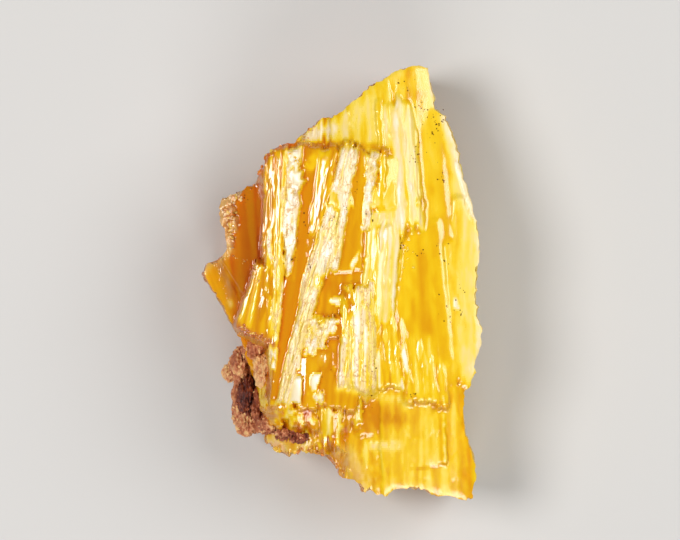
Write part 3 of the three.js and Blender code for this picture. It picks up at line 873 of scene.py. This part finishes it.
# crumbs along the broken edges: the line that they follow, how far off it they lie, and their sizes
crumbs = {
    "wingRim": dict(
        path=((-4.05, 3.5), (-4.4, 3.15), (-4.4, 2.6), (-4.35, 1.9), (-4.3, 1.4)), spread=0.1, count=70,
        size=(0.06, 0.2), tones=(orange, pale, cream, white), blush=0.4),
    "wingSpeckle": dict(
        path=((-5.0, 0.8), (-4.75, 0.3), (-4.45, -0.75)), spread=0.05, count=18, size=(0.03, 0.09),
        tones=(pale, cream), blush=0.5, sink=0.5),
    "wingFold": dict(
        path=((-4.2, 1.1), (-3.6, 0.7), (-3.2, 0.1)), spread=0.1, count=22, size=(0.04, 0.1),
        tones=(orange, pale), blush=0.5),
    "flareRim": dict(
        path=((-4.0, -1.65), (-3.4, -2.0), (-2.75, -2.3)), spread=0.07, count=50, size=(0.05, 0.14),
        tones=(deep, amber, orange, pale), blush=0.4),
    "upperEdge": dict(
        path=((-3.5, 3.8), (-3.25, 4.3), (-2.95, 4.9), (-2.7, 5.2)), spread=0.12, count=40,
        size=(0.06, 0.17), tones=(amber, orange, orange, pale), blush=0.2, sink=0.3),
    "ledgeRim": dict(
        path=((-2.65, 5.3), (-2.2, 5.45), (-1.2, 5.5), (-0.5, 5.5)), spread=0.09, count=20,
        size=(0.05, 0.14), tones=(orange, gold, lemon), blush=0.2, sink=0.4),
    "upperLedge": dict(
        path=((-1.5, 5.75), (-1.1, 6.1), (-0.65, 6.4)), spread=0.08, count=24, size=(0.04, 0.1),
        tones=(orange, gold, pale), blush=0.2, sink=0.4),
    "stripChips": dict(
        path=((-2.35, 4.75), (-1.9, 4.9), (-1.5, 4.7)), spread=0.15, count=20, size=(0.05, 0.12),
        tones=(white, lemon), blush=0.0),
    "pocketChips": dict(
        path=((2.45, 1.7), (2.65, 1.3), (2.55, 0.85)), spread=0.14, count=20, size=(0.05, 0.12),
        tones=(pale, yellow), blush=0.0),
    "fracture": dict(
        path=((-2.1, -4.95), (-1.3, -5.2), (-0.4, -5.3), (0.6, -5.1)), spread=0.4, count=32,
        size=(0.05, 0.17), tones=(lemon, yellow), blush=0.0, sink=0.75),
    "leftFoot": dict(
        path=((-2.85, -6.4), (-2.2, -6.75), (-1.5, -6.5), (-0.8, -6.75), (0.4, -7.7)), spread=0.08,
        count=26, size=(0.1, 0.26), tones=(orange, gold, yellow), blush=0.3, sink=0.4),
}


def ballOf(detail):
    # the corners and triangles of a round ball of radius 1
    ball = bmesh.new()
    bmesh.ops.create_icosphere(ball, subdivisions=detail, radius=1.0)
    points = np.array([tuple(v.co) for v in ball.verts])
    faces = [[v.index for v in f.verts] for f in ball.faces]
    ball.free()
    return points, faces


grainBall = ballOf(1)


def lumpMesh(name, middle, size, draw, rough=0.3, tone=0.0, blush=0.0):
    # an angular grain: a ball of triangles, turned any way round, with its corners pushed in and out
    points, faces = grainBall
    turn = np.array(Euler(draw.uniform(0, 6.283, 3)).to_matrix())
    stretched = points * draw.uniform(0.75, 1.3, 3) @ turn.T
    points = stretched * draw.uniform(1 - rough, 1 + rough, (len(points), 1))
    points = points * size + np.array(middle)
    points[:, 2] = points[:, 2].clip(0.02)
    mesh = meshOf(name, points, faces)
    uneven = tone + draw.normal(0, 0.04, len(faces))
    writeFaces(mesh, tone=uneven, blush=blush, lean=0.0, crackle=0.3, dull=0.0)
    return mesh


def crumbMeshes(relief, seed):
    draw = np.random.default_rng(seed)
    made = []
    for name, row in crumbs.items():
        path = np.array(row["path"])
        steps = stations(path)
        for number in range(row["count"]):
            where = draw.uniform(0, steps[-1])
            x = np.interp(where, steps, path[:, 0]) + draw.normal(0, row["spread"])
            y = np.interp(where, steps, path[:, 1]) + draw.normal(0, row["spread"])
            size = draw.uniform(*row["size"]) / 2
            tone = row["tones"][draw.integers(len(row["tones"]))]
            if relief.rim[relief.place(x, y)] < 0.03:
                continue
            lift = (draw.uniform(-0.5, 0.2) - row.get("sink", 0)) * size
            middle = (x, y, relief.heightAt(x, y) * thickness + lift)
            made.append(lumpMesh(name, middle, size, draw, 0.28, tone, row["blush"]))
    return made


def rimMesh(name, seed):
    # a wall round the outline, jagged and broken, that the block is cut to
    draw = np.random.default_rng(seed)
    corners = np.array([*outline, outline[0]])
    length = stations(corners)
    where = np.linspace(0, length[-1], int(length[-1] / crystal["wallStep"]), endpoint=False)
    ring = np.stack([np.interp(where, length, corners[:, axis]) for axis in (0, 1)], 1)
    ahead = np.roll(ring, -2, 0) - np.roll(ring, 2, 0)
    ahead /= np.linalg.norm(ahead, axis=1)[:, None]
    outward = np.stack([ahead[:, 1], -ahead[:, 0]], 1)
    t, z = np.meshgrid(where, np.arange(*crystal["wallLevels"]), indexing="ij")
    along = np.abs(outward[:, :1]) ** 2  # 1 on the sides, where the crystals run by, 0 at their broken ends
    jag = unevenLine(draw, t, crystal["wallWaves"])
    runs = Splinters(draw, z, t, *crystal["runs"][:2])
    fibres = Splinters(draw, z, t, *crystal["fibres"][:2])
    blocks = Splinters(draw, t, z, *crystal["blocks"][:2])
    chips = Splinters(draw, t, z, *crystal["chips"][:2])
    ledges = runs.relief(*crystal["runs"][2:]) + fibres.relief(*crystal["fibres"][2:])
    hackles = blocks.relief(*crystal["blocks"][2:]) + chips.relief(*crystal["chips"][2:])
    broken = (ledges * along + hackles * (1 - along)) * np.clip(2.9 - z * 0.5, 0, 1)  # less near the face
    undercut = crystal["undercut"] * np.clip(2.5 - z, 0, 9) ** 1.3  # it draws in towards the floor
    out = jag - crystal["inset"] - np.abs(broken) - undercut
    plan = ring[:, None, :] + outward[:, None, :] * out[..., None]
    points = np.concatenate([plan, z[..., None] * thickness], -1)
    n, m = t.shape
    spot = np.arange(n * m).reshape(n, m)
    ahead = np.roll(spot, -1, 0)
    walls = np.stack([spot[:, :-1], ahead[:, :-1], ahead[:, 1:], spot[:, 1:]], -1).reshape(-1, 4)
    allFaces = [*walls.tolist(), spot[::-1, 0].tolist(), spot[:, -1].tolist()]
    mesh = meshOf(name, points.reshape(-1, 3), allFaces)
    # painted light: the wall is paler where it faces right and deeper where it faces left, as on the lit
    # right rim
    facing = np.repeat(outward[:, 0], m - 1)
    shift = (runs.spread() * 0.08 + fibres.spread() * 0.07) * along + (1 - along) * chips.spread() * 0.07
    tone = np.concatenate([0.48 + 0.18 * facing + shift[:, :-1].ravel(), [gold, gold]])
    writeFaces(mesh, tone=tone, blush=0.0, lean=0.0, crackle=0.3, dull=0.3, wall=1.0)
    return mesh


relief = Relief(crystal["low"], crystal["high"], crystal["step"])
for number, blade in enumerate(blades.values()):
    relief.lay(blade, crystal["bladeSeed"] + number)
relief.strew(crystal["strewn"], crystal["strewnSeed"])
relief.soften(crystal["softenRounds"])
relief.measureRim()
mottle = np.random.default_rng(crystal["mottleSeed"])
wear = Splinters(mottle, relief.x, relief.y, *crystal["wornCells"]).spread()
worn = crystal["worn"] + crystal["wornSpread"] * wear
relief.paintShade()
relief.z -= worn * np.exp(-np.abs(relief.rim) / crystal["wornReach"])  # the edges are rounded a little
for brush in brushes.values():
    near = relief.distance(brush["path"])
    patch = Splinters(mottle, relief.x, relief.y, *crystal["patchCells"]).spread()
    patchy = 1 + crystal["patches"] * patch
    share = (np.exp(-(near / brush["width"]) ** 2) * patchy * brush["strength"]).clip(0, 1)
    relief.tone += share * (brush["tone"] - relief.tone)
    relief.blush += share * (brush.get("blush", 0.0) - relief.blush)
print("relief", relief.x.shape)

block, rim = relief.solid("block"), rimMesh("rim", crystal["rimSeed"])
bundle = joinSolids("crystalBundle", [block, *crumbMeshes(relief, crystal["crumbSeed"])], rim)
dropScraps(bundle.data, crystal["scrap"])
creaseEdges(bundle.data, crystal["faceCrease"], crystal["wallCrease"])
bundle.data.calc_loop_triangles()
print("crystal", len(bundle.data.polygons), "faces", len(bundle.data.loop_triangles), "triangles")

glass = {
    # the colour of each tone, from 0 to 1 as the ramp reads it
    "stops": (
        (0, (0.60, 0.10, 0.0005)), (0.122, (0.88, 0.20, 0.0005)), (0.243, (0.95, 0.33, 0.001)),
        (0.365, (0.98, 0.44, 0.001)), (0.487, (0.97, 0.575, 0.003)), (0.565, (0.94, 0.63, 0.008)),
        (0.652, (0.86, 0.64, 0.055)), (0.757, (0.76, 0.575, 0.16)), (0.87, (0.75, 0.62, 0.355)),
        (1, (0.89, 0.81, 0.64))),
    "toneToRamp": 0.87,
    "blush": (0.72, 0.38, 0.2), "crackColour": (0.50, 0.22, 0.02),
    "transmission": 0.45, "index": 1.7,
    "absorbed": (1.0, 0.86, 0.05, 1.0), "density": 1200.0,
    # how fine each grain is across the blades, along them and upwards
    "ribs": (11000.0, 700.0, 5000.0), "clouds": (1800.0, 700.0, 1800.0), "curls": (4200.0, 2200.0, 3000.0),
    "bump": 0.3, "bumpDepth": 0.03 * mm,
}


def crystalFinish():
    f = Finish("legranditeCrystal")
    split = f.node("ShaderNodeSeparateXYZ", None, f.node("ShaderNodeTexCoord").part("Object"))
    x, y, z = split.part("X"), split.part("Y"), split.part("Z")
    fields = ("tone", "lean", "blush", "crackle", "dull")
    tone, lean, blush, crackle, dull = (f.attribute(name) for name in fields)
    side = x - y * lean

    def stretched(across, along, up):
        return f.node("ShaderNodeCombineXYZ", None, side * across, y * along, z * up)

    ribs = f.grain(stretched(*glass["ribs"]), detail=4.0)
    cloud = f.grain(stretched(*glass["clouds"]))
    curls = f.grain(stretched(*glass["curls"]), roughness=0.6)

    # colour: paler crystal is more frosted, and shows its grain and its cracks more
    frosted = ((tone - 0.58) * 4.0).clamped()
    crinkled = frosted * crackle
    mottled = (curls - 0.5) * dull * 0.35
    ribbed = (ribs - 0.5) * (0.05 + frosted * 0.1 + crinkled * 0.4)
    varied = tone + (cloud - 0.5) * (0.06 + frosted * 0.16) + ribbed + mottled
    shade = f.node("ShaderNodeValToRGB", {"stops": glass["stops"]}, varied * glass["toneToRamp"])
    hairs = (1.0 - (curls - 0.5).size() * 22.0).clamped() * (cloud * 5.0 - 1.4).clamped() * crinkled
    shade = f.blend(hairs * 0.85, shade, glass["crackColour"])
    blushed = (blush * (cloud * 1.6 + 0.1) + (curls - 0.5) * crinkled * 1.2).clamped()
    shade = f.blend(blushed, shade, glass["blush"])

    # gloss: steep faces are rougher than the top
    upright = f.node("ShaderNodeNewGeometry").part("True Normal")
    steep = (0.5 - f.node("ShaderNodeSeparateXYZ", None, upright).part("Z")).clamped()
    roughness = (0.07 + frosted * 0.2 + steep * 0.8 + dull * 0.16 + (ribs - 0.5) * 0.08).clamped()
    height = (ribs + cloud * 0.5) * (0.12 + frosted * 0.25 + crinkled) - hairs * 0.6 + curls * dull * 1.5
    bump = f.node("ShaderNodeBump", None, Strength=glass["bump"], Distance=glass["bumpDepth"], Height=height)
    clear = f.node("ShaderNodeBsdfPrincipled", None, Base_Color=shade, Roughness=roughness,
                   IOR=glass["index"], Transmission_Weight=glass["transmission"], Normal=bump)
    chalky = f.node("ShaderNodeBsdfPrincipled", None, Base_Color=shade, Roughness=roughness + 0.1,
                    IOR=glass["index"], Normal=bump)
    share = ((varied - 0.35) * 1.8).clamped() * 0.9
    surface = f.node("ShaderNodeMixShader", None, share, clear, chalky)
    volume = f.node("ShaderNodeVolumeAbsorption", None, Color=glass["absorbed"], Density=glass["density"])
    return f.output(surface, volume)


bundle.data.materials.clear()
bundle.data.materials.append(crystalFinish())
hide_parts("legrandite_crystal")
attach(bundle, "root")

matrix = {
    "lumps": {
        "upper": dict(middle=(-3.35, -2.6, 3.2), radii=(0.6, 0.6, 1.0), tone=0.6),
        "side": dict(middle=(-4.0, -3.3, 2.4), radii=(0.42, 0.8, 1.1), tone=0.58),
        "core": dict(middle=(-3.75, -4.4, 2.5), radii=(0.36, 0.95, 1.1), tone=0.18),
        "bump": dict(middle=(-4.4, -3.5, 2.4), radii=(0.3, 0.34, 0.4), tone=0.66),
        "rind": dict(middle=(-4.05, -4.6, 2.0), radii=(0.3, 1.1, 0.9), tone=0.55),
        "lower": dict(middle=(-3.75, -5.4, 2.0), radii=(0.5, 0.7, 1.0), tone=0.58),
        "inner": dict(middle=(-3.25, -4.9, 2.6), radii=(0.4, 1.0, 1.2), tone=0.4),
        "chips": dict(middle=(-3.05, -3.45, 3.8), radii=(0.42, 0.68, 0.9), tone=0.8),
        "streak": dict(middle=(-2.72, -5.66, 3.95), radii=(0.42, 0.3, 0.75), tone=0.45),
        "streakMiddle": dict(middle=(-2.2, -5.85, 4.3), radii=(0.46, 0.3, 0.7), tone=0.36),
        "tail": dict(middle=(-1.62, -6.08, 4.32), radii=(0.42, 0.22, 0.62), tone=0.33),
    },
    # how far the surface stands out in lumps, in fibres and in grit
    "coarse": 0.16, "fibre": 0.1, "fine": 0.045,
    "grains": 420, "grainSize": (0.04, 0.15), "scrap": 200, "seed": 21,
    "stops": (
        (0.0, (0.035, 0.003, 0.001)), (0.22, (0.12, 0.014, 0.002)), (0.42, (0.26, 0.055, 0.014)),
        (0.58, (0.42, 0.13, 0.05)), (0.75, (0.58, 0.26, 0.11)), (0.92, (0.72, 0.44, 0.18))),
    "stretch": (6000.0, 1300.0, 3000.0), "bump": 0.7, "bumpDepth": 0.05 * mm, "roughness": 0.6,
}


def earthy(point):
    # how far the surface stands out at a point: lumps, then fibres that run down it, then grit
    lump = noise.fractal(point * 1.8, 0.8, 2.0, 4)
    fibre = abs(noise.noise(Vector((point.x * 8, point.y * 2.0, point.z * 4)))) - 0.2
    grit = noise.noise(point * 11)
    return lump * matrix["coarse"] - fibre * matrix["fibre"] * 2 + grit * matrix["fine"]


def matrixMeshes(seed):
    draw = np.random.default_rng(seed)
    made = []
    skin = []
    roundBall, faces = ballOf(5)
    for name, lump in matrix["lumps"].items():
        points = []
        for out in roundBall:
            out = Vector(out)
            spot = Vector(lump["middle"]) + out * Vector(lump["radii"])
            spot += out * earthy(spot)
            spot.z = max(spot.z, 0.05)
            points.append(tuple(spot))
        mesh = meshOf(name, points, faces)
        writeFaces(mesh, tone=lump["tone"])
        made.append(mesh)
        skin += [(spot, lump["tone"]) for spot in points[::7]]
    for number in range(matrix["grains"]):
        middle, tone = skin[draw.integers(len(skin))]
        change = draw.normal(0.03, 0.14)
        size = draw.uniform(*matrix["grainSize"]) / 2
        made.append(lumpMesh("grain", middle, size, draw, tone=tone + change))
    return made


def matrixFinish():
    f = Finish("limonite")
    place = f.node("ShaderNodeTexCoord").part("Object")
    long = f.node("ShaderNodeVectorMath", {"operation": "MULTIPLY"}, place, matrix["stretch"])
    fibres = f.grain(long, detail=4.0)
    blotch = f.grain(place, 900.0, 4.0)
    grit = f.grain(place, 6000.0)
    # painted shade and highlight: the colour is darker in hollows and paler on bumps, by pointiness
    hollows = f.node("ShaderNodeNewGeometry").part("Pointiness")
    tone = f.attribute("tone")
    level = tone + (blotch - 0.5) * 0.5 + (fibres - 0.5) * 0.55 + (grit - 0.5) * 0.3 + (hollows - 0.5) * 2.5
    shade = f.node("ShaderNodeValToRGB", {"stops": matrix["stops"]}, level)
    bump = f.node("ShaderNodeBump", None, Strength=matrix["bump"], Distance=matrix["bumpDepth"],
                  Height=grit + fibres)
    return f.output(f.node("ShaderNodeBsdfPrincipled", None, Base_Color=shade, Roughness=matrix["roughness"],
                           Normal=bump))


crust = joinSolids("limoniteCrust", matrixMeshes(matrix["seed"]))
dropScraps(crust.data, matrix["scrap"])
crust.data.materials.clear()
crust.data.materials.append(matrixFinish())
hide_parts("limonite_matrix")
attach(crust, "root")
print("matrix", len(crust.data.polygons), "faces")

specks = {
    "places": (
        (2.6, 7.7), (2.25, 7.9), (3.55, 6.5), (3.7, 6.35), (3.75, 6.1), (3.85, 6.3), (3.6, 5.9),
        (3.95, 6.4), (3.1, 7.0), (3.25, 6.8), (2.95, 5.4), (3.05, 5.1), (2.9, 4.9), (4.0, 4.3),
        (4.05, 4.05), (0.63, 3.7), (-0.45, 2.5), (-0.36, 2.48), (-1.4, 2.3), (1.23, 2.5), (-3.8, 3.5),
        (2.35, 1.62), (2.33, 1.4), (3.8, 1.6), (3.15, 1.2), (4.05, 0.9), (-1.2, 0.65), (4.15, -0.9),
        (4.75, -1.1), (4.8, -0.25), (4.05, -1.45), (-0.35, -3.4), (1.3, -3.2), (0.9, -4.6), (2.9, -4.3),
        (-1.9, 1.0), (0.2, 3.0)),
    "size": (0.02, 0.065), "perPlace": 5, "stray": 0.07, "rough": 0.35, "seed": 31,
    "dark": (0.03, 0.006, 0.002), "light": (0.16, 0.04, 0.008),
}


def speckFinish():
    f = Finish("darkSpeck")
    grain = f.grain(f.node("ShaderNodeTexCoord").part("Object"), 9000.0)
    shade = f.blend(grain, specks["dark"], specks["light"])
    return f.output(f.node("ShaderNodeBsdfPrincipled", None, Base_Color=shade, Roughness=1.0, IOR=1.2))


def speckMeshes(relief, seed):
    draw = np.random.default_rng(seed)
    made = []
    for place in specks["places"]:
        for number in range(specks["perPlace"]):
            x, y = np.array(place) + draw.normal(0, specks["stray"], 2) * number
            size = draw.uniform(*specks["size"]) / 2
            middle = (x, y, relief.heightAt(x, y) * thickness)
            made.append(lumpMesh("speck", middle, size, draw, specks["rough"]))
    return made


dust = joinSolids("darkSpecks", speckMeshes(relief, specks["seed"]))
dust.data.materials.clear()
dust.data.materials.append(speckFinish())
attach(dust, "root")
print("specks", len(dust.data.polygons), "faces")

studio = {
    "floor": 400.0, "floorColour": (0.5, 0.495, 0.486, 1.0), "floorRoughness": 0.6,
    "fieldWidth": 26.93, "focusHeight": 4.2, "lens": 180.0, "lookAt": (-0.04, 0.55),
    "dome": 0.09, "domeColour": (1.0, 0.98, 0.96, 1.0),
    "panelDistance": 220,
    "panels": {
        "keyPanel": dict(azimuth=170, elevation=60, size=94, radiance=16.3, colour=(1.0, 0.97, 0.94)),
        "fillPanel": dict(azimuth=25, elevation=45, size=160, radiance=5.5),
        "frontPanel": dict(azimuth=275, elevation=35, size=120, radiance=6.5),
    },
}


def makeFloor():
    half = studio["floor"]
    corners = [(-half, -half, 0), (half, -half, 0), (half, half, 0), (-half, half, 0)]
    mesh = meshOf("floor", corners, [(0, 1, 2, 3)])
    f = Finish("paleFloor")
    mesh.materials.append(f.output(f.node("ShaderNodeBsdfPrincipled", None, Base_Color=studio["floorColour"],
                                          Roughness=studio["floorRoughness"])))
    addObject("floor", mesh)


def makeLight(name, azimuth, elevation, size, radiance, colour=(1, 1, 1)):
    # radiance is how bright the panel looks, so its power follows from its size
    data = bpy.data.lights.new(name, "AREA")
    data.shape = "DISK"
    data.size = size * mm
    data.color = colour
    data.energy = radiance * math.pi * math.pi * (size * mm / 2) ** 2
    made = addObject(name, data)
    turn, lift = math.radians(azimuth), math.radians(elevation)
    back = Vector((math.cos(lift) * math.cos(turn), math.cos(lift) * math.sin(turn), math.sin(lift)))
    made.location = back * studio["panelDistance"] * mm
    made.rotation_mode = "QUATERNION"
    made.rotation_quaternion = back.to_track_quat("Z", "Y")


def makeDome():
    world = bpy.data.worlds.new("dome")
    bpy.context.scene.world = world
    world.use_nodes = True
    background = world.node_tree.nodes["Background"]
    background.inputs["Color"].default_value = studio["domeColour"]
    background.inputs["Strength"].default_value = studio["dome"]


def makeCamera():
    data = bpy.data.cameras.new("camera")
    data.lens = studio["lens"]
    data.clip_start = 0.005
    data.clip_end = 5.0
    made = addObject("camera", data)
    distance = studio["lens"] / data.sensor_width * studio["fieldWidth"]
    x, y = studio["lookAt"]
    made.location = (x * mm, y * mm, (distance + studio["focusHeight"]) * mm)
    bpy.context.scene.camera = made


makeFloor()
for name, panel in studio["panels"].items():
    makeLight(name, **panel)
makeDome()
makeCamera()
bpy.context.scene.view_settings.view_transform = "Standard"
print("floor, lights and camera")
